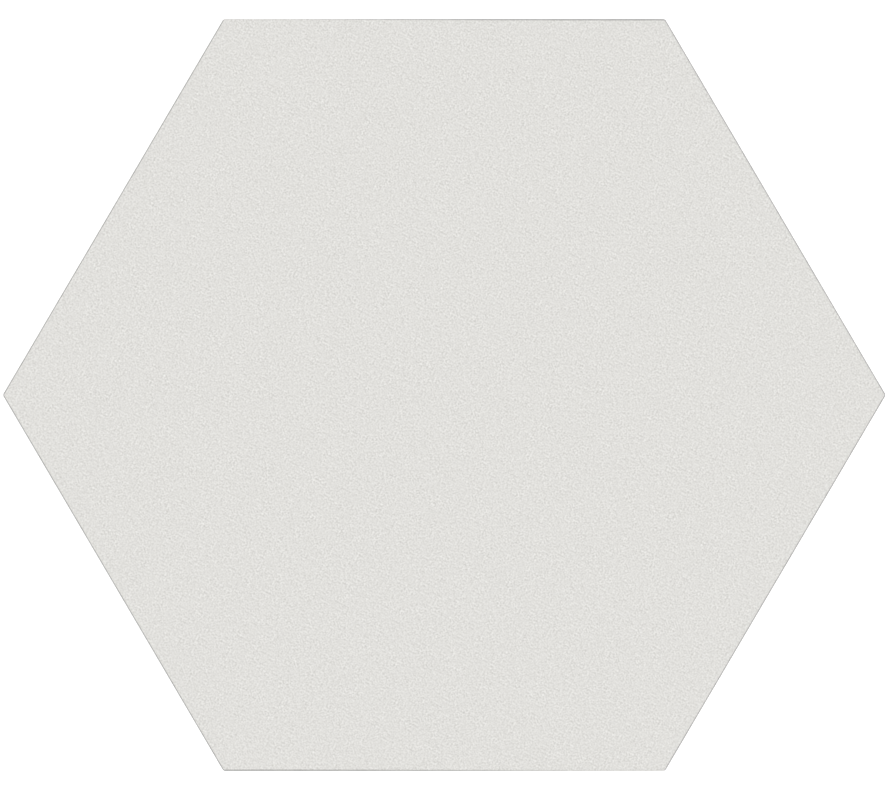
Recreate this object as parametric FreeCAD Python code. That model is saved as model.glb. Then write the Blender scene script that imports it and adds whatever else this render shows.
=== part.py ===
import FreeCAD, Part

import os
from math import atan2, cos, radians, sin, sqrt, tan

# A pressed and fired porcelain floor tile, one piece, in millimetres.
# It lies face up: the bed plane is Z = 0, the walking face is Z = thickness, and the origin is
# under the middle of the tile. X runs from corner to corner and Y from flat side to flat side.

# Face outline. Two sides are parallel to X. The outline is a shade longer than a regular hexagon.
across_flats = 216.0
across_corners = 253.7
corner_radius = 1.0

# Section through the edge, from the face down.
thickness = 9.0
arris_radius = 0.6
band_height = 4.5
band_setback = 0.6
foot_bevel = 0.8

# Keyed back: a honeycomb of shallow drafted cells, with ribs between them and a plain border.
cell_pitch = 17.0
rib_width = 3.2
cell_depth = 0.8
cell_draft_degrees = 40.0
border_width = 10.0

# The cutting tools of the cells start this far below the bed, so that they cut right through it.
cut_overrun = 0.5


def tile_sides():
    """The six sides of the face outline, each as (angle of its outward normal, distance from the centre)."""
    half_length = across_corners / 2
    half_width = across_flats / 2
    slant = atan2(half_length / 2, half_width)
    slant_distance = half_length * cos(slant)
    quarter = radians(90)
    half = radians(180)
    return [
        (slant, slant_distance),
        (quarter, half_width),
        (half - slant, slant_distance),
        (half + slant, slant_distance),
        (half + quarter, half_width),
        (2 * half - slant, slant_distance),
    ]


def cell_sides():
    """The six sides of a cell's mouth. Two of them face along X, so that the rows follow the tile's sides."""
    mouth = (cell_pitch - rib_width) / 2
    return [(radians(60 * step), mouth) for step in range(6)]


def point_from(centre, angle, radius):
    return FreeCAD.Vector(centre.x + radius * cos(angle), centre.y + radius * sin(angle), centre.z)


def corners(sides, inset, height):
    """Where neighbouring sides meet once each is moved inwards by inset."""
    found = []
    for (angle, distance), (next_angle, next_distance) in zip(sides, sides[1:] + sides[:1]):
        reach = distance - inset
        next_reach = next_distance - inset
        turn = sin(next_angle - angle)
        x = (reach * sin(next_angle) - next_reach * sin(angle)) / turn
        y = (next_reach * cos(angle) - reach * cos(next_angle)) / turn
        found.append(FreeCAD.Vector(x, y, height))
    return found


def rounded_outline(sides, inset, radius, height):
    """A closed wire: the sides moved inwards by inset and joined by arcs of the given radius."""
    centres = corners(sides, inset + radius, height)
    arcs = []
    for centre, (angle, _), (next_angle, _) in zip(centres, sides, sides[1:] + sides[:1]):
        turn = (next_angle - angle) % radians(360)
        arcs.append(Part.Arc(
            point_from(centre, angle, radius),
            point_from(centre, angle + turn / 2, radius),
            point_from(centre, angle + turn, radius),
        ))
    edges = []
    for arc, next_arc in zip(arcs, arcs[1:] + arcs[:1]):
        edges.append(arc.toShape())
        edges.append(Part.LineSegment(arc.EndPoint, next_arc.StartPoint).toShape())
    return Part.Wire(edges)


def upper_band():
    """The upright band under the face, with its top edge rounded to the arris."""
    sides = tile_sides()
    base = Part.Face(rounded_outline(sides, 0, corner_radius, thickness - band_height))
    band = base.extrude(FreeCAD.Vector(0, 0, band_height))
    face_edges = [edge for edge in band.Edges if edge.BoundBox.ZMin > thickness - arris_radius / 2]
    return band.makeFillet(arris_radius, face_edges)


def lower_body():
    """The part below the band, which leans in towards the bed and ends in a bevelled foot."""
    sides = tile_sides()
    lean_height = thickness - band_height
    setback_at_bevel = band_setback * (1 - foot_bevel / lean_height)
    sections = [
        (setback_at_bevel + foot_bevel, 0),
        (setback_at_bevel, foot_bevel),
        (0, lean_height),
    ]
    wires = [rounded_outline(sides, inset, corner_radius, height) for inset, height in sections]
    return Part.makeLoft(wires, True, True)


def cell_tool():
    """The solid that one cell of the back removes, centred on the origin. Its walls close in with depth."""
    sides = cell_sides()
    run = tan(radians(cell_draft_degrees))
    start = corners(sides, -cut_overrun * run, -cut_overrun)
    floor = corners(sides, cell_depth * run, cell_depth)
    outlines = [start, floor]
    for low, high, next_low, next_high in zip(start, floor, start[1:] + start[:1], floor[1:] + floor[:1]):
        outlines.append([low, next_low, next_high, high])
    faces = [Part.Face(Part.makePolygon(points + points[:1])) for points in outlines]
    return Part.Solid(Part.Shell(faces))


def cell_centres():
    """Centres of the honeycomb cells that lie wholly inside the plain border."""
    sides = tile_sides()
    cell_reach = (cell_pitch - rib_width) / sqrt(3)
    row_pitch = cell_pitch * sqrt(3) / 2
    rows = int(across_flats / row_pitch)
    columns = int(across_corners / cell_pitch)
    found = []
    for row in range(-rows, rows + 1):
        for column in range(-columns, columns + 1):
            centre = FreeCAD.Vector((column + row % 2 / 2) * cell_pitch, row * row_pitch, 0)
            if all(
                centre.x * cos(angle) + centre.y * sin(angle) + cell_reach <= distance - border_width
                for angle, distance in sides
            ):
                found.append(centre)
    return found


def floor_tile():
    body = upper_band().fuse(lower_body()).removeSplitter()
    tool = cell_tool()
    cells = []
    for centre in cell_centres():
        cell = tool.copy()
        cell.translate(centre)
        cells.append(cell)
    return body.cut(cells)


os.makedirs("parts", exist_ok=True)
tile = floor_tile()
tile.exportStep("parts/floor_tile.step")
print("solids", len(tile.Solids), "valid", tile.isValid(), "cells", len(cell_centres()))
print("size", tile.BoundBox, "volume in cubic centimetres", round(tile.Volume / 1000, 1))
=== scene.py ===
from math import atan2, cos, pi, radians, sin, sqrt

import bmesh
import bpy
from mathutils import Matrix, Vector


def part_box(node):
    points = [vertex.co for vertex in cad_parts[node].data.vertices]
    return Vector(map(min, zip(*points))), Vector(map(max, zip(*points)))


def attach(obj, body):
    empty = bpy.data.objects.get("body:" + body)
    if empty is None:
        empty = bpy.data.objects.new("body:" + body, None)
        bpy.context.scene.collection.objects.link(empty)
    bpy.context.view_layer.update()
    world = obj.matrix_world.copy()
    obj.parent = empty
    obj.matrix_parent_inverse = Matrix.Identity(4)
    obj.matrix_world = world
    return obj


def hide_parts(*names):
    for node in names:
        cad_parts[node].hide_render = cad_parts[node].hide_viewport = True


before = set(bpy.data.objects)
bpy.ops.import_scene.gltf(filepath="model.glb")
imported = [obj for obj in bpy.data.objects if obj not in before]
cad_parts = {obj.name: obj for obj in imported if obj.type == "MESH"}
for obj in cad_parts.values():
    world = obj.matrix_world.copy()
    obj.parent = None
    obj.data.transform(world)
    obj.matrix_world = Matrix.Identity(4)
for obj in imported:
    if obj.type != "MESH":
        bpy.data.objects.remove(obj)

scene = bpy.context.scene
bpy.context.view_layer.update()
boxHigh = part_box("floor_tile")[1]
mm = 0.001
cm = 10 * mm
mergeDistance = 0.001 * mm  # points closer than this are one
socketTypes = {int: "NodeSocketInt", float: "NodeSocketFloat", tuple: "NodeSocketVector"}


def plug(tree, value, socket):
    if isinstance(value, bpy.types.NodeSocket):
        tree.links.new(value, socket)
    else:
        socket.default_value = value


def add(tree, kind, inputs=None, **settings):
    node = tree.nodes.new(kind)
    for name, value in settings.items():
        setattr(node, name, value)
    for name, value in (inputs or {}).items():
        plug(tree, value, node.inputs[name])
    return node


def outputOf(tree, kind, inputs=None, **settings):
    # for a node of which only the first output is used
    return add(tree, kind, inputs, **settings).outputs[0]


def newTree(name, kind, inputs, outputs):
    # an input is given by its value, or by its socket's type where it starts without one
    tree = bpy.data.node_groups.new(name, kind)
    for label, value in inputs.items():
        socketType = socketTypes.get(type(value), value)
        socket = tree.interface.new_socket(label, in_out="INPUT", socket_type=socketType)
        if socketType != value:
            socket.default_value = value
    for label, socketType in outputs.items():
        tree.interface.new_socket(label, in_out="OUTPUT", socket_type=socketType)
    return tree, tree.nodes.new("NodeGroupInput").outputs, tree.nodes.new("NodeGroupOutput").inputs


# numbers
def calc(tree, operation, *values):
    return outputOf(tree, "ShaderNodeMath", dict(enumerate(values)), operation=operation)


def times(tree, first, *others):
    for other in others:
        first = calc(tree, "MULTIPLY", first, other)
    return first


def total(tree, first, *others):
    for other in others:
        first = calc(tree, "ADD", first, other)
    return first


def difference(tree, first, second):
    return calc(tree, "SUBTRACT", first, second)


def ratio(tree, first, second):
    return calc(tree, "DIVIDE", first, second)


def half(tree, value):
    return times(tree, value, 0.5)


def negative(tree, value):
    return times(tree, value, -1.0)


def ranged(tree, value, low, high, toLow=0.0, toHigh=1.0, shape="LINEAR"):
    return outputOf(tree, "ShaderNodeMapRange",
                    {"Value": value, "From Min": low, "From Max": high, "To Min": toLow, "To Max": toHigh},
                    interpolation_type=shape)


def noiseOf(tree, place, scale, dimensions="3D", **extra):
    return outputOf(tree, "ShaderNodeTexNoise", {"Vector": place, "Scale": scale, **extra},
                    noise_dimensions=dimensions)


# vectors
def vectorCalc(tree, operation, first, second):
    return outputOf(tree, "ShaderNodeVectorMath", {0: first, 1: second}, operation=operation)


def plus(tree, first, *others):
    for other in others:
        first = vectorCalc(tree, "ADD", first, other)
    return first


def minus(tree, first, second):
    return vectorCalc(tree, "SUBTRACT", first, second)


def stretch(tree, vector, factor):
    return outputOf(tree, "ShaderNodeVectorMath", {"Vector": vector, "Scale": factor}, operation="SCALE")


def point(tree, x=0.0, y=0.0, z=0.0):
    return outputOf(tree, "ShaderNodeCombineXYZ", {"X": x, "Y": y, "Z": z})


def parts(tree, vector):
    return add(tree, "ShaderNodeSeparateXYZ", {"Vector": vector}).outputs


# geometry
def here(tree):
    return outputOf(tree, "GeometryNodeInputPosition")


def counting(tree):
    return outputOf(tree, "GeometryNodeInputIndex")


def join(tree, *meshes):
    node = add(tree, "GeometryNodeJoinGeometry")
    for mesh in reversed(meshes):  # what is linked last comes first
        tree.links.new(mesh, node.inputs[0])
    return node.outputs[0]


def weld(tree, mesh):
    return outputOf(tree, "GeometryNodeMergeByDistance", {"Geometry": mesh, "Distance": mergeDistance})


def flipped(tree, mesh):
    return outputOf(tree, "GeometryNodeFlipFaces", {"Mesh": mesh})


def moveTo(tree, mesh, place):
    return outputOf(tree, "GeometryNodeSetPosition", {"Geometry": mesh, "Position": place})


def lift(tree, mesh, height):
    return outputOf(tree, "GeometryNodeSetPosition", {"Geometry": mesh, "Offset": point(tree, z=height)})


def squareGrid(tree, halfCount):
    # a grid of points one apart, halfCount of them each way from the middle
    span = times(tree, halfCount, 2.0)
    count = total(tree, span, 1.0)
    return outputOf(tree, "GeometryNodeMeshGrid",
                    {"Size X": span, "Size Y": span, "Vertices X": count, "Vertices Y": count})


def store(tree, geometry, name, value, dataType, domain="POINT"):
    return outputOf(tree, "GeometryNodeStoreNamedAttribute",
                    {"Geometry": geometry, "Name": name, "Value": value}, data_type=dataType, domain=domain)


def stored(tree, name, dataType):
    return outputOf(tree, "GeometryNodeInputNamedAttribute", {"Name": name}, data_type=dataType)


def sampled(tree, dataType, curve, value, index):
    return outputOf(tree, "GeometryNodeSampleIndex", {"Geometry": curve, "Value": value, "Index": index},
                    data_type=dataType, domain="POINT")


def pick(tree, dataType, values):
    # one value for each point, in order
    node = add(tree, "GeometryNodeIndexSwitch", data_type=dataType)
    while len(node.index_switch_items) < len(values):
        node.index_switch_items.new()
    plug(tree, counting(tree), node.inputs["Index"])
    for value, socket in zip(values, list(node.inputs)[1:]):
        plug(tree, value, socket)
    return node.outputs[0]


def curveThrough(tree, points):
    line = outputOf(tree, "GeometryNodeMeshLine", {"Count": len(points)})
    line = moveTo(tree, line, pick(tree, "VECTOR", points))
    return outputOf(tree, "GeometryNodeMeshToCurve", {"Mesh": line})


def sectionCurve(tree, points, radii, steps):
    curve = outputOf(tree, "GeometryNodeSetCurveRadius",
                     {"Curve": curveThrough(tree, points), "Radius": pick(tree, "FLOAT", radii)})
    return outputOf(tree, "GeometryNodeFilletCurve",
                    {"Curve": curve, "Count": steps, "Radius": outputOf(tree, "GeometryNodeInputRadius"),
                     "Limit Radius": True}, mode="POLY")


def outlineCurve(tree, corners, bisectors, radius, steps):
    # closed; each point of it remembers its sharp corner, and the way that corner moves inwards
    curve = outputOf(tree, "GeometryNodeSetSplineCyclic",
                     {"Geometry": curveThrough(tree, corners), "Cyclic": True})
    curve = store(tree, curve, "corner", pick(tree, "VECTOR", corners), "FLOAT_VECTOR")
    curve = store(tree, curve, "bisector", pick(tree, "VECTOR", bisectors), "FLOAT_VECTOR")
    return outputOf(tree, "GeometryNodeFilletCurve", {"Curve": curve, "Count": steps, "Radius": radius},
                    mode="POLY")


def countOf(tree, curve):
    node = add(tree, "GeometryNodeAttributeDomainSize", {"Geometry": curve}, component="CURVE")
    return node.outputs["Point Count"]


def divideSides(tree, outline, step):
    # cuts the long straight stretches, and leaves the arcs as they are
    nextIndex = calc(tree, "MODULO", total(tree, counting(tree), 1.0), countOf(tree, outline))
    nextPlace = outputOf(tree, "GeometryNodeFieldAtIndex", {"Value": here(tree), "Index": nextIndex},
                         domain="POINT", data_type="FLOAT_VECTOR")
    apart = add(tree, "ShaderNodeVectorMath", {0: here(tree), 1: nextPlace}, operation="DISTANCE")
    cuts = calc(tree, "FLOOR", ratio(tree, apart.outputs["Value"], step))
    return outputOf(tree, "GeometryNodeSubdivideCurve", {"Curve": outline, "Cuts": cuts})


def openRim(tree, mesh, low=None, high=None):
    # the edges with only one face as a curve, above or below a height
    faces = outputOf(tree, "GeometryNodeInputMeshEdgeNeighbors")
    chosen = calc(tree, "COMPARE", faces, 1.0, 0.5)
    height = parts(tree, here(tree))[2]
    if low is not None:
        chosen = times(tree, chosen, calc(tree, "GREATER_THAN", height, low))
    if high is not None:
        chosen = times(tree, chosen, calc(tree, "LESS_THAN", height, high))
    return outputOf(tree, "GeometryNodeMeshToCurve", {"Mesh": mesh, "Selection": chosen})


def filled(tree, *curves):
    return outputOf(tree, "GeometryNodeFillCurve", {"Curve": join(tree, *curves)}, mode="TRIANGLES")


def makeLoftTree():
    # a section point holds its inset square to the side, its inset along the corner, and its height
    curves = {name: "NodeSocketGeometry" for name in ("Outline", "Section")}
    tree, given, result = newTree("loftRoundOutline", "GeometryNodeTree",
                                  {**curves, "Corner Radius": "NodeSocketFloat"},
                                  {"Mesh": "NodeSocketGeometry"})
    outline, section, radius = given["Outline"], given["Section"], given["Corner Radius"]
    around = countOf(tree, outline)
    levels = countOf(tree, section)
    mesh = outputOf(tree, "GeometryNodeMeshGrid",
                    {"Vertices X": total(tree, around, 1.0), "Vertices Y": levels})
    column = calc(tree, "FLOOR", ratio(tree, total(tree, counting(tree), 0.5), levels))
    level = difference(tree, counting(tree), times(tree, column, levels))
    column = calc(tree, "MODULO", column, around)  # the last column closes the ring

    vector = "FLOAT_VECTOR"
    place = sampled(tree, vector, outline, here(tree), column)
    corner = sampled(tree, vector, outline, stored(tree, "corner", vector), column)
    bisector = sampled(tree, vector, outline, stored(tree, "bisector", vector), column)
    inset, cornerInset, height = parts(tree, sampled(tree, vector, section, here(tree), level))
    arcCentre = minus(tree, corner, stretch(tree, bisector, radius))
    normal = stretch(tree, minus(tree, place, arcCentre), ratio(tree, 1.0, radius))
    inwards = plus(tree, stretch(tree, normal, inset), stretch(tree, bisector, cornerInset))
    length = add(tree, "GeometryNodeSplineParameter").outputs["Length"]
    mesh = store(tree, mesh, "down", sampled(tree, "FLOAT", section, length, level), "FLOAT")
    mesh = moveTo(tree, mesh, plus(tree, minus(tree, place, inwards), point(tree, z=height)))
    tree.links.new(flipped(tree, mesh), result["Mesh"])
    return tree


# one cell of the keyed back, in the sizes of the press punch
cellSizes = {
    "Cell Pitch": 17.0 * mm,
    "Rib Width": 3.2 * mm,
    "Cell Depth": 0.8 * mm,
    "Cell Draft": radians(40.0),
    "Cell Corner Radius": 1.6 * mm,
    "Cell Corner Steps": 3,
    "Crest Radius": 0.3 * mm,
    "Floor Radius": 0.4 * mm,
    "Key Steps": 3,
}


def makeCellTree(loftTree):
    # a cell with the half ribs round it, lying on the bed plane
    tree, given, result = newTree("keyedCell", "GeometryNodeTree", cellSizes,
                                  {"Mesh": "NodeSocketGeometry"})
    depth, radius, crest = given["Cell Depth"], given["Cell Corner Radius"], given["Crest Radius"]
    halfRib = half(tree, given["Rib Width"])
    mouth = difference(tree, half(tree, given["Cell Pitch"]), halfRib)
    run = times(tree, depth, calc(tree, "TANGENT", given["Cell Draft"]))
    outward = negative(tree, total(tree, radius, halfRib))
    floorEdge = total(tree, run, given["Floor Radius"])
    middle = difference(tree, mouth, radius)

    sideReach = cos(pi / 6)  # how far out the sides of a hexagon are, where its corners are 1 out
    turns = [pi / 6 + number * pi / 3 for number in range(6)]
    bisectors = [(cos(turn) / sideReach, sin(turn) / sideReach, 0.0) for turn in turns]
    corners = [stretch(tree, bisector, mouth) for bisector in bisectors]
    outline = outlineCurve(tree, corners, bisectors, radius, given["Cell Corner Steps"])
    # from the middle of the rib over its crest, down the wall, and in to the middle of the cell
    section = sectionCurve(
        tree,
        [point(tree, radius, outward), point(tree, negative(tree, crest)), point(tree),
         point(tree, run, z=depth), point(tree, floorEdge, z=depth), point(tree, radius, middle, depth)],
        [0.0, 0.0, crest, given["Floor Radius"], 0.0, 0.0], given["Key Steps"])
    loft = outputOf(tree, "GeometryNodeGroup",
                    {"Outline": outline, "Section": section, "Corner Radius": radius}, node_tree=loftTree)
    tree.links.new(weld(tree, loft), result["Mesh"])
    return tree


# sizes of the pressed tile; its outline and thickness come from the frame
tileSizes = {
    "Corner Radius": 1.0 * mm,
    "Corner Steps": 8,
    "Arris Radius": 0.6 * mm,
    "Band Height": 4.5 * mm,
    "Band Setback": 0.6 * mm,
    "Band Softening": 1.2 * mm,  # where the upright band turns into the lean
    "Foot Bevel": 0.8 * mm,
    "Foot Softening": 0.25 * mm,
    "Section Steps": 6,
    "Side Step": 3.0 * mm,
    "Rim Margin": 0.15 * mm,  # flat ring inside the arris, keeps its shading clean
    "Lattice Inset": 1.8 * mm,
    "Lattice Steps": 120,
    "Relief Depth": 0.02 * mm,  # the face is never quite flat
    "Relief Size": 3.2 * mm,
    "Relief Fade": 3.0 * mm,
    "Relief Seed": 4.0,
    "Border": 10.0 * mm,  # plain edge of the back, round its cells
}

# the tile's skin laid flat: the face whole, the back in two halves, and six strips for the sides;
# shares and places are in widths of the map
mapLayout = {
    "Face Share": 0.8314,  # from corner to corner
    "Face Place": (0.4191, 0.6293, 0.0),
    "Back Share": 0.563,
    "Back Cut": 1.0 * mm,  # off the middle, where rounding would part the walls of the cells
    "Upper Back Place": (0.2817, 0.0176, 0.0),
    "Lower Back Place": (0.7064, 0.2539, 0.0),
    "Side Share": 0.3442,  # along one side
    "Side Stretch": 1.44,  # the strips are a little wider than they would be at one scale
    "Side Place": (0.8398, 0.455, 0.0),
    "Side Pitch": (0.0469, 0.3516, 0.0),
}


def sharpHalfLength():
    # the frame's box ends at the rounded corners; the sides meet a little further out
    length = boxHigh.x
    for _ in range(3):  # settled by then
        slant = atan2(length / 2, boxHigh.y)
        length = boxHigh.x + tileSizes["Corner Radius"] * (1 / cos(slant) - 1)
    return length


outlineSizes = {"Half Length": sharpHalfLength(), "Half Width": boxHigh.y}
pressSizes = {**outlineSizes, "Thickness": boxHigh.z, **tileSizes, **cellSizes, **mapLayout}


def slantOf(tree, given):
    # of the four sides that don't lie along X: cosine and sine of their direction, and how far out they are
    length = given["Half Length"]
    slant = calc(tree, "ARCTAN2", half(tree, length), given["Half Width"])
    cosSlant = calc(tree, "COSINE", slant)
    return cosSlant, calc(tree, "SINE", slant), times(tree, length, cosSlant)


def toSides(tree, given, x, y):
    # how far a point is from its nearest slanted side, and from its nearest side along X
    cosSlant, sinSlant, slantDistance = slantOf(tree, given)
    x, y = calc(tree, "ABSOLUTE", x), calc(tree, "ABSOLUTE", y)
    sideways = total(tree, times(tree, x, cosSlant), times(tree, y, sinSlant))
    return difference(tree, slantDistance, sideways), difference(tree, given["Half Width"], y)


def makeMapTree():
    geometry = {name: "NodeSocketGeometry" for name in ("Face", "Back", "Edge")}
    tree, given, result = newTree("flatMap", "GeometryNodeTree",
                                  {**geometry, **outlineSizes, **mapLayout}, geometry)

    def layOn(name, *place):
        laid = store(tree, given[name], "OFBake", plus(tree, *place), "FLOAT2", "CORNER")
        tree.links.new(laid, result[name])

    def mapScale(share, size):
        return ratio(tree, given[share], size)

    # read in the middle of a face, so that no face is torn between two places of the map
    middleX, middleY = (
        outputOf(tree, "GeometryNodeFieldOnDomain", {"Value": value}, data_type="FLOAT", domain="FACE")
        for value in parts(tree, here(tree))[:2])
    upper = calc(tree, "GREATER_THAN", middleY, 0.0)
    upperBack = calc(tree, "GREATER_THAN", middleY, given["Back Cut"])
    lowerBack = difference(tree, 1.0, upperBack)
    length = given["Half Length"]
    whole = times(tree, length, 2.0)
    layOn("Face", stretch(tree, here(tree), mapScale("Face Share", whole)), given["Face Place"])
    layOn("Back", stretch(tree, here(tree), mapScale("Back Share", whole)),
          stretch(tree, given["Upper Back Place"], upperBack),
          stretch(tree, given["Lower Back Place"], lowerBack))

    # the strips stand in an upper and a lower row, with those of the sides along X in the first column
    toSlant, toFlat = toSides(tree, given, middleX, middleY)
    onSlant = calc(tree, "GREATER_THAN", toFlat, toSlant)
    onFlat = difference(tree, 1.0, onSlant)
    cosSlant, sinSlant, _ = slantOf(tree, given)
    x, y, _ = parts(tree, here(tree))
    alongSlant = difference(tree, times(tree, calc(tree, "ABSOLUTE", y), cosSlant),
                            times(tree, calc(tree, "ABSOLUTE", x), sinSlant))
    along = total(tree, times(tree, alongSlant, onSlant), times(tree, x, onFlat))
    sideScale = mapScale("Side Share", length)
    downScale = times(tree, sideScale, given["Side Stretch"])
    down = stored(tree, "down", "FLOAT")
    strip = point(tree, times(tree, down, downScale), times(tree, along, sideScale))
    column = times(tree, onSlant, total(tree, calc(tree, "GREATER_THAN", middleX, 0.0), 1.0))
    pitch = vectorCalc(tree, "MULTIPLY", point(tree, column, upper), given["Side Pitch"])
    layOn("Edge", strip, pitch, given["Side Place"])
    return tree


def makeEdge(tree, given, corners, bisectors, loftTree):
    # arris, band, lean and foot
    outline = outlineCurve(tree, corners, bisectors, given["Corner Radius"], given["Corner Steps"])
    outline = divideSides(tree, outline, given["Side Step"])
    top, arris, foot = given["Thickness"], given["Arris Radius"], given["Foot Bevel"]
    bandFoot = difference(tree, top, given["Band Height"])
    leaning = difference(tree, 1.0, ratio(tree, foot, bandFoot))
    setback = times(tree, given["Band Setback"], leaning)
    bed = total(tree, setback, foot)
    bedRing = total(tree, bed, times(tree, given["Foot Softening"], 2.0))
    rim = total(tree, arris, given["Rim Margin"])
    section = sectionCurve(
        tree,
        [point(tree, rim, z=top), point(tree, z=top), point(tree, z=bandFoot),
         point(tree, y=setback, z=foot), point(tree, y=bed), point(tree, y=bedRing)],
        [0.0, arris, given["Band Softening"], given["Foot Softening"], given["Foot Softening"], 0.0],
        given["Section Steps"])
    loft = outputOf(tree, "GeometryNodeGroup",
                    {"Outline": outline, "Section": section, "Corner Radius": given["Corner Radius"]},
                    node_tree=loftTree)
    return weld(tree, loft), bandFoot


def makeFace(tree, given, corners, bisectors, toSide):
    # a lattice of triangles that follows the outline, with the cast relief
    steps, inset = given["Lattice Steps"], given["Lattice Inset"]
    lattice = squareGrid(tree, steps)
    across = parts(tree, here(tree))
    apart = calc(tree, "ABSOLUTE", difference(tree, across[0], across[1]))
    outside = calc(tree, "GREATER_THAN", apart, total(tree, steps, 0.5))
    lattice = store(tree, lattice, "outside", outside, "FLOAT")
    step = ratio(tree, 1.0, steps)
    insetCorners = (minus(tree, corners[n], stretch(tree, bisectors[n], inset)) for n in (0, 2))
    ways = [stretch(tree, corner, step) for corner in insetCorners]
    place = plus(tree, *(stretch(tree, way, count) for way, count in zip(ways, across)))
    lattice = outputOf(tree, "GeometryNodeTriangulate", {"Mesh": moveTo(tree, lattice, place)},
                       quad_method="SHORTEST_DIAGONAL")
    lattice = outputOf(tree, "GeometryNodeDeleteGeometry",
                       {"Geometry": lattice, "Selection": stored(tree, "outside", "FLOAT")}, domain="POINT")
    fadeEnd = total(tree, inset, given["Relief Fade"])
    fade = ranged(tree, toSide, inset, fadeEnd, shape="SMOOTHSTEP")
    waves = noiseOf(tree, here(tree), ratio(tree, 1.0, given["Relief Size"]), "4D",
                    W=given["Relief Seed"], Detail=1.0)
    sink = times(tree, waves, fade, given["Relief Depth"])
    return lattice, lift(tree, lattice, difference(tree, given["Thickness"], sink))


def makeBack(tree, given, toSide, cellTree):
    # every cell of the honeycomb that fits inside the plain border
    cell = outputOf(tree, "GeometryNodeGroup", {name: given[name] for name in cellSizes},
                    node_tree=cellTree)
    pitch = given["Cell Pitch"]
    spare = 1.5  # the grid slants, so it is begun longer than the tile
    rows = ratio(tree, times(tree, given["Half Length"], spare), pitch)
    centres = squareGrid(tree, calc(tree, "CEIL", rows))
    across = parts(tree, here(tree))
    place = point(tree, total(tree, across[0], half(tree, across[1])), times(tree, across[1], sqrt(3) / 2))
    centres = moveTo(tree, centres, stretch(tree, place, pitch))
    cellReach = ratio(tree, difference(tree, pitch, given["Rib Width"]), sqrt(3))
    fits = calc(tree, "GREATER_THAN", toSide, total(tree, given["Border"], cellReach))
    cells = outputOf(tree, "GeometryNodeInstanceOnPoints",
                     {"Points": centres, "Selection": fits, "Instance": cell})
    return weld(tree, outputOf(tree, "GeometryNodeRealizeInstances", {"Geometry": cells}))


def makeTileTree():
    loftTree = makeLoftTree()
    slots = {name: "NodeSocketMaterial" for name in ("Face Material", "Side Material", "Back Material")}
    tree, given, result = newTree("pressedTile", "GeometryNodeTree", {**pressSizes, **slots},
                                  {"Mesh": "NodeSocketGeometry"})
    length, width, top = given["Half Length"], given["Half Width"], given["Thickness"]
    halfLength = half(tree, length)
    cosSlant, sinSlant, _ = slantOf(tree, given)
    tip = ratio(tree, 1.0, cosSlant)
    lean = ratio(tree, difference(tree, 1.0, sinSlant), cosSlant)
    # three corners, and three more straight across from them
    corners = [point(tree, length), point(tree, halfLength, width),
               point(tree, negative(tree, halfLength), width)]
    corners += [stretch(tree, corner, -1.0) for corner in corners]
    bisectors = [point(tree, tip), point(tree, lean, 1.0), point(tree, negative(tree, lean), 1.0)]
    bisectors += [stretch(tree, bisector, -1.0) for bisector in bisectors]
    toSide = calc(tree, "MINIMUM", *toSides(tree, given, *parts(tree, here(tree))[:2]))

    edge, bandFoot = makeEdge(tree, given, corners, bisectors, loftTree)
    lattice, face = makeFace(tree, given, corners, bisectors, toSide)
    back = makeBack(tree, given, toSide, makeCellTree(loftTree))
    rim = filled(tree, openRim(tree, edge, low=bandFoot), openRim(tree, lattice))
    face = join(tree, face, lift(tree, rim, top))
    underFoot = half(tree, given["Foot Bevel"])
    border = filled(tree, openRim(tree, edge, high=bandFoot), openRim(tree, back, high=underFoot))
    back = join(tree, back, flipped(tree, border))
    layout = {name: given[name] for name in (*outlineSizes, *mapLayout)}
    laid = add(tree, "GeometryNodeGroup", {"Face": face, "Back": back, "Edge": edge, **layout},
               node_tree=makeMapTree()).outputs

    # zones: 0 face and arris, 1 sides, 2 back
    arrisFoot = difference(tree, top, given["Arris Radius"])
    underArris = calc(tree, "LESS_THAN", parts(tree, here(tree))[2], arrisFoot)
    face = store(tree, laid["Face"], "zone", 0, "INT", "FACE")
    edge = store(tree, laid["Edge"], "zone", underArris, "INT", "FACE")
    back = store(tree, laid["Back"], "zone", 2, "INT", "FACE")
    mesh = weld(tree, join(tree, face, edge, back))
    mesh = outputOf(tree, "GeometryNodeSetShadeSmooth", {"Geometry": mesh})
    mesh = outputOf(tree, "GeometryNodeRealizeInstances", {"Geometry": mesh})
    for zone, name in enumerate(slots):
        inZone = calc(tree, "COMPARE", stored(tree, "zone", "INT"), zone, 0.5)
        mesh = outputOf(tree, "GeometryNodeSetMaterial",
                        {"Geometry": mesh, "Selection": inZone, "Material": given[name]})
    tree.links.new(mesh, result["Mesh"])
    return tree


def setInputs(modifier, values):
    for item in modifier.node_group.interface.items_tree:
        if item.in_out == "INPUT" and item.name in values:
            modifier[item.identifier] = values[item.name]


def makeTile(materials):
    blank = bpy.data.objects.new("tileBlank", bpy.data.meshes.new("tileBlank"))
    scene.collection.objects.link(blank)
    press = blank.modifiers.new("press", "NODES")
    press.node_group = makeTileTree()
    setInputs(press, {**pressSizes, **materials})
    mesh = bpy.data.meshes.new_from_object(blank.evaluated_get(bpy.context.evaluated_depsgraph_get()))
    bpy.data.objects.remove(blank)
    mesh.name = "pressedTile"
    mesh.materials.pop(index=0)  # an empty slot, which the grids bring
    for name in ("outside", "down", "zone"):
        mesh.attributes.remove(mesh.attributes[name])
    tile = bpy.data.objects.new("pressedTile", mesh)
    scene.collection.objects.link(tile)
    return tile


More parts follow.
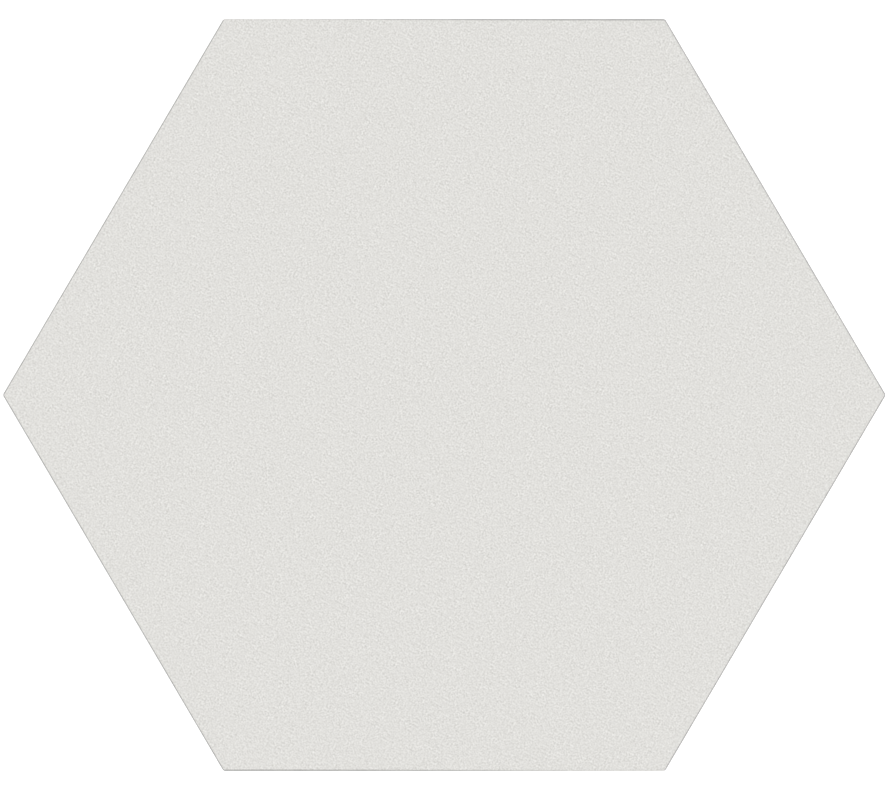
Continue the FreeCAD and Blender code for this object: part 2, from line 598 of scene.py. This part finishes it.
def checkMesh(tile):
    body = bmesh.new()
    body.from_mesh(tile.data)
    openEdges = sum(not edge.is_manifold for edge in body.edges)
    triangles = sum(len(face.verts) - 2 for face in body.faces)
    volume = round(body.calc_volume() / cm ** 3, 1)
    print("tile:", triangles, "triangles,", openEdges, "open edges,", volume, "cubic cm")
    body.free()


# patterns; the noise swings about its middle, and most of it lies within its reach
noiseMiddle = 0.5
noiseReach = (0.3, 0.7)


def objectPlace(tree):
    return add(tree, "ShaderNodeTexCoord").outputs["Object"]


def swing(tree, noise, amount):
    return times(tree, difference(tree, noise, noiseMiddle), amount)


def blended(tree, amount, first, second):
    # the two colours are the seventh and eighth sockets of the node
    node = add(tree, "ShaderNodeMix", {"Factor": amount, 6: first, 7: second}, data_type="RGBA")
    return node.outputs[2]


# fine stipple that the fired surface has everywhere
grainValues = {
    # the face lies just off a plane of the noise's lattice, where it has no slow swings
    "Place": (0.0, 0.0, 0.06 * mm - boxHigh.z),
    "Turn": (0.0, 0.0, radians(27.0)),
    "Scale": 1950.0,  # bumps to the metre
    "Detail": 0.6,
    "Contrast": 1.18,
    "Patch Scale": 300.0,  # some places are fired rougher than others
    "Patchiness": 0.3,
    "Drift Scale": 55.0,
    "Drift": 0.03,
}


def makeGrainGroup():
    tree, given, result = newTree("fineGrain", "ShaderNodeTree", grainValues,
                                  {"Grain": "NodeSocketFloat", "Height": "NodeSocketFloat"})
    place = outputOf(tree, "ShaderNodeMapping",
                     {"Vector": objectPlace(tree), "Location": given["Place"], "Rotation": given["Turn"]})
    fine = swing(tree, noiseOf(tree, place, given["Scale"], Detail=given["Detail"]), given["Contrast"])
    drift = swing(tree, noiseOf(tree, place, given["Drift Scale"], Detail=2.0), given["Drift"])
    patches = noiseOf(tree, place, given["Patch Scale"], Detail=1.0)
    rougher = times(tree, ranged(tree, patches, *noiseReach, -1.0, 1.0), given["Patchiness"])
    fine = times(tree, fine, total(tree, rougher, 1.0))
    tree.links.new(total(tree, fine, drift, noiseMiddle), result["Grain"])
    tree.links.new(total(tree, fine, noiseMiddle), result["Height"])
    return tree


# painted shade along the arris, where its rounding turns away from the overhead light, and where the glaze
# ends on the side
glazeEndAndShadeValues = {
    "Edge Shade Width": 0.40 * mm,  # width of the painted edge shade in from the four slanted sides
    "Edge Shade At Wide End": 0.53 * mm,  # and in from the two others, where it runs out towards one end
    "Edge Shade At Narrow End": 0.02 * mm,
    "Edge Shade Taper": 2.0,  # above 1 it keeps its width for longer before it runs out
    "Edge Shade Blur": 0.20 * mm,
    "Edge Shade Foot": 8.25 * mm,
    "Edge Shade Foot Blur": 0.36 * mm,
    "Least Edge Shade": 0.8,  # strength of the painted edge shade where it is faintest
    "End": 7.7 * mm,  # height where the glaze ends on the side
    "End Blur": 0.5 * mm,
    "Unevenness": 0.8 * mm,
    "Run Size": 5.0 * mm,
}


def makeGlazeEndAndShadeGroup():
    tree, given, result = newTree("glazeEndAndEdgeShade", "ShaderNodeTree", {**outlineSizes, **glazeEndAndShadeValues},
                                  {"Glazed": "NodeSocketFloat", "Edge Shade": "NodeSocketFloat"})
    place = objectPlace(tree)
    x, y, height = parts(tree, place)
    runsAndShadeSwing = noiseOf(tree, place, ratio(tree, 1.0, given["Run Size"]), Detail=2.0)
    end = total(tree, given["End"], swing(tree, runsAndShadeSwing, given["Unevenness"]))
    halfBlur = half(tree, given["End Blur"])
    glazed = ranged(tree, difference(tree, height, end), negative(tree, halfBlur), halfBlur,
                    shape="SMOOTHSTEP")

    # on one side along X the painted edge shade runs out towards +X, and on the other towards -X
    halfSide = half(tree, given["Half Length"])
    turned = times(tree, x, calc(tree, "SIGN", y))
    fromWideEnd = ranged(tree, turned, negative(tree, halfSide), halfSide, 1.0, 0.0)
    flatWidth = ranged(tree, calc(tree, "POWER", fromWideEnd, given["Edge Shade Taper"]), 0.0, 1.0,
                       given["Edge Shade At Wide End"], given["Edge Shade At Narrow End"])
    toSlant, toFlat = toSides(tree, given, x, y)
    inEdgeShade = calc(tree, "MAXIMUM", *(
        ranged(tree, difference(tree, width, distance), 0.0, given["Edge Shade Blur"], shape="SMOOTHSTEP")
        for width, distance in ((given["Edge Shade Width"], toSlant), (flatWidth, toFlat))))
    aboveFoot = ranged(tree, difference(tree, height, given["Edge Shade Foot"]), 0.0, given["Edge Shade Foot Blur"],
                       shape="SMOOTHSTEP")
    # the painted edge shade is a little weaker in places
    edgeShadeStrength = ranged(tree, runsAndShadeSwing, *noiseReach, 1.0, given["Least Edge Shade"])
    tree.links.new(glazed, result["Glazed"])
    tree.links.new(times(tree, inEdgeShade, aboveFoot, edgeShadeStrength), result["Edge Shade"])
    return tree


# specks and cloudiness of the bare body
kilnMarkValues = {
    "Speck Scale": 420.0,
    "Speck Size": 0.16,
    "Speck Blur": 0.05,
    "Speck Share": 0.1,  # of the cells of the pattern that hold a speck
    "Cloud Scale": 28.0,
    "Cloud From": 0.35,
    "Cloud To": 0.65,
    "Cloud Strength": 0.5,
}


def makeKilnMarkGroup():
    tree, given, result = newTree("kilnMarks", "ShaderNodeTree", kilnMarkValues,
                                  {"Specks": "NodeSocketFloat", "Clouds": "NodeSocketFloat"})
    place = objectPlace(tree)
    spots = add(tree, "ShaderNodeTexVoronoi", {"Vector": place, "Scale": given["Speck Scale"]}).outputs
    bare = difference(tree, 1.0, given["Speck Share"])
    size = times(tree, ranged(tree, parts(tree, spots["Color"])[0], bare, 1.0), given["Speck Size"])
    specks = ranged(tree, difference(tree, size, spots["Distance"]), 0.0, given["Speck Blur"])
    clouds = noiseOf(tree, place, given["Cloud Scale"], Detail=4.0)
    clouds = ranged(tree, clouds, given["Cloud From"], given["Cloud To"], shape="SMOOTHSTEP")
    tree.links.new(specks, result["Specks"])
    tree.links.new(times(tree, clouds, given["Cloud Strength"]), result["Clouds"])
    return tree


# colours of the fired porcelain as written on the shader, and the sizes of its marks
tileFinish = {
    "glazeDark": (0.5665, 0.5545, 0.5265, 1.0),
    "glazePale": (0.8775, 0.8715, 0.848, 1.0),
    # painted shade for the rounded arris, darker than the bare body
    "paintedEdgeShade": (0.290, 0.288, 0.284, 1.0),
    "bodyDark": (0.560, 0.535, 0.485, 1.0),
    "bodyPale": (0.690, 0.668, 0.620, 1.0),
    "drawMark": (0.470, 0.445, 0.395, 1.0),
    "speck": (0.210, 0.175, 0.140, 1.0),
    "kilnWash": (0.800, 0.795, 0.780, 1.0),
    "glazeRoughness": (0.78, 0.62),  # in the hollows of the grain and on its tips
    "sideRoughness": (0.88, 0.70),  # bare, and glazed
    "backRoughness": (0.85, 0.95),  # bare, and under the wash
    "grainHeight": 0.012 * mm,
    "bodyGrain": {"Scale": 1150.0},  # the bare body is coarser than the glaze
    "bodyGrainHeight": 0.02 * mm,
    "sideGrainShare": 0.4,  # of the relief, where draw marks count for 1
    "drawMarkScale": 1200.0,  # to the metre along the side
    "drawMarkLength": 20.0,  # times their width
    "drawMarkRange": (0.45, 0.72),  # of the noise, from none to a full mark
    "drawMarkStrength": 0.55,
    "drawMarkHeight": 0.03 * mm,
    "washScale": 160.0,
    "washRange": (0.38, 0.62),
    "washCover": (0.15, 0.85),  # least and most of it that is left
    "washLine": 0.16 * mm,  # kiln wash stays on the rib crests up to here
}


def newMaterial(name):
    material = bpy.data.materials.new(name)
    material.use_nodes = True
    return material, material.node_tree, material.node_tree.nodes["Principled BSDF"].inputs


def useGroup(tree, group, values=None):
    return add(tree, "ShaderNodeGroup", values, node_tree=group).outputs


def bumped(tree, height, distance):
    return outputOf(tree, "ShaderNodeBump", {"Height": height, "Distance": distance})


def glazeColour(tree, grain, edgeShade):
    glaze = blended(tree, grain, tileFinish["glazeDark"], tileFinish["glazePale"])
    # the painted shade of the arris is laid over the glaze
    return blended(tree, edgeShade, glaze, tileFinish["paintedEdgeShade"])


def bodyColour(tree, grain):
    return blended(tree, grain, tileFinish["bodyDark"], tileFinish["bodyPale"])


def withKilnMarks(tree, body, marks):
    body = blended(tree, marks["Clouds"], body, tileFinish["bodyPale"])
    return blended(tree, marks["Specks"], body, tileFinish["speck"])


def makeFaceMaterial(grainGroup, glazeEndAndShadeGroup):
    material, tree, shader = newMaterial("mattGlaze")
    grain = useGroup(tree, grainGroup)
    edge = useGroup(tree, glazeEndAndShadeGroup)
    roughness = ranged(tree, grain["Grain"], 0.0, 1.0, *tileFinish["glazeRoughness"])
    # the face's colour carries the painted shade along the arris
    tree.links.new(glazeColour(tree, grain["Grain"], edge["Edge Shade"]), shader["Base Color"])
    tree.links.new(roughness, shader["Roughness"])
    tree.links.new(bumped(tree, grain["Height"], tileFinish["grainHeight"]), shader["Normal"])
    return material


def makeSideMaterial(grainGroup, glazeEndAndShadeGroup, kilnMarkGroup):
    material, tree, shader = newMaterial("bareSide")
    grain = useGroup(tree, grainGroup, tileFinish["bodyGrain"])
    edge = useGroup(tree, glazeEndAndShadeGroup)
    # the press die leaves upright marks
    upright = outputOf(tree, "ShaderNodeMapping", {
        "Vector": objectPlace(tree), "Scale": (1.0, 1.0, 1.0 / tileFinish["drawMarkLength"])})
    drawMarks = noiseOf(tree, upright, tileFinish["drawMarkScale"], Detail=2.0)
    marked = ranged(tree, drawMarks, *tileFinish["drawMarkRange"], 0.0, tileFinish["drawMarkStrength"])
    body = blended(tree, marked, bodyColour(tree, grain["Grain"]), tileFinish["drawMark"])
    body = withKilnMarks(tree, body, useGroup(tree, kilnMarkGroup))
    glaze = glazeColour(tree, grain["Grain"], edge["Edge Shade"])
    roughness = ranged(tree, edge["Glazed"], 0.0, 1.0, *tileFinish["sideRoughness"])
    height = total(tree, times(tree, drawMarks, difference(tree, 1.0, edge["Glazed"])),
                   times(tree, grain["Height"], tileFinish["sideGrainShare"]))
    tree.links.new(blended(tree, edge["Glazed"], body, glaze), shader["Base Color"])
    tree.links.new(roughness, shader["Roughness"])
    tree.links.new(bumped(tree, height, tileFinish["drawMarkHeight"]), shader["Normal"])
    return material


def makeBackMaterial(grainGroup, kilnMarkGroup):
    material, tree, shader = newMaterial("keyedBack")
    grain = useGroup(tree, grainGroup, tileFinish["bodyGrain"])
    body = withKilnMarks(tree, bodyColour(tree, grain["Grain"]), useGroup(tree, kilnMarkGroup))
    place = objectPlace(tree)
    patches = noiseOf(tree, place, tileFinish["washScale"], Detail=5.0, Roughness=0.65)
    onCrest = ranged(tree, parts(tree, place)[2], 0.0, tileFinish["washLine"], 1.0, 0.0, "SMOOTHSTEP")
    cover = ranged(tree, patches, *tileFinish["washRange"], *tileFinish["washCover"])
    wash = times(tree, onCrest, cover)
    roughness = ranged(tree, wash, 0.0, 1.0, *tileFinish["backRoughness"])
    tree.links.new(blended(tree, wash, body, tileFinish["kilnWash"]), shader["Base Color"])
    tree.links.new(roughness, shader["Roughness"])
    tree.links.new(bumped(tree, grain["Height"], tileFinish["bodyGrainHeight"]), shader["Normal"])
    return material


def makeMaterials():
    grainGroup = makeGrainGroup()
    glazeEndAndShadeGroup = makeGlazeEndAndShadeGroup()
    kilnMarkGroup = makeKilnMarkGroup()
    return {
        "Face Material": makeFaceMaterial(grainGroup, glazeEndAndShadeGroup),
        "Side Material": makeSideMaterial(grainGroup, glazeEndAndShadeGroup, kilnMarkGroup),
        "Back Material": makeBackMaterial(grainGroup, kilnMarkGroup),
    }


# a plain pale floor, overhead light, and the camera straight above
roomValues = {
    "floorSize": 8.0,
    "floorColor": (0.8, 0.8, 0.8, 1.0),
    "floorRoughness": 0.9,
    "floorGlow": 0.31,  # only what the camera and reflections see
    "sunStrength": 0.7 * pi,
    "sunAngle": radians(2.0),
    "skyStrength": 0.3,
    "cameraLens": 100.0,  # with this sensor it takes in 254.4 mm at the height of the face
    "cameraSensor": 36.0,
    "cameraHeight": 706.6 * mm,  # above the face
    "cameraPlace": (-0.359 * mm, 0.574 * mm),
}
white = (1.0, 1.0, 1.0, 1.0)


def seenDirectly(tree):
    path = add(tree, "ShaderNodeLightPath").outputs
    seen = calc(tree, "MAXIMUM", path["Is Camera Ray"], path["Is Glossy Ray"])
    return calc(tree, "MAXIMUM", seen, path["Is Transmission Ray"])


def makeFloor():
    body = bmesh.new()
    bmesh.ops.create_grid(body, x_segments=1, y_segments=1, size=roomValues["floorSize"] / 2)
    mesh = bpy.data.meshes.new("studioFloor")
    body.to_mesh(mesh)
    body.free()
    floor = bpy.data.objects.new("studioFloor", mesh)
    scene.collection.objects.link(floor)
    material, tree, shader = newMaterial("paleFloor")
    shader["Base Color"].default_value = roomValues["floorColor"]
    shader["Roughness"].default_value = roomValues["floorRoughness"]
    shader["Specular IOR Level"].default_value = 0.0
    shader["Emission Color"].default_value = white
    glow = times(tree, seenDirectly(tree), roomValues["floorGlow"])
    tree.links.new(glow, shader["Emission Strength"])
    mesh.materials.append(material)


def makeLight():
    sun = bpy.data.lights.new("overheadLight", "SUN")
    sun.energy = roomValues["sunStrength"]
    sun.angle = roomValues["sunAngle"]
    scene.collection.objects.link(bpy.data.objects.new("overheadLight", sun))
    world = bpy.data.worlds.new("studio")
    scene.world = world
    world.use_nodes = True
    tree = world.node_tree
    sky = tree.nodes["Background"].inputs
    sky["Color"].default_value = white
    strength = ranged(tree, seenDirectly(tree), 0.0, 1.0, roomValues["skyStrength"], 1.0)
    tree.links.new(strength, sky["Strength"])


def makeCamera():
    camera = bpy.data.cameras.new("photoCamera")
    camera.lens = roomValues["cameraLens"]
    camera.sensor_width = roomValues["cameraSensor"]
    holder = bpy.data.objects.new("photoCamera", camera)
    holder.location = (*roomValues["cameraPlace"], boxHigh.z + roomValues["cameraHeight"])
    scene.collection.objects.link(holder)
    scene.camera = holder


materials = makeMaterials()
print("materials made")

tile = makeTile(materials)
checkMesh(tile)
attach(tile, "root")
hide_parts("floor_tile")

makeFloor()
makeLight()
makeCamera()
scene.view_settings.view_transform = "Standard"
print("floor, light and camera made")
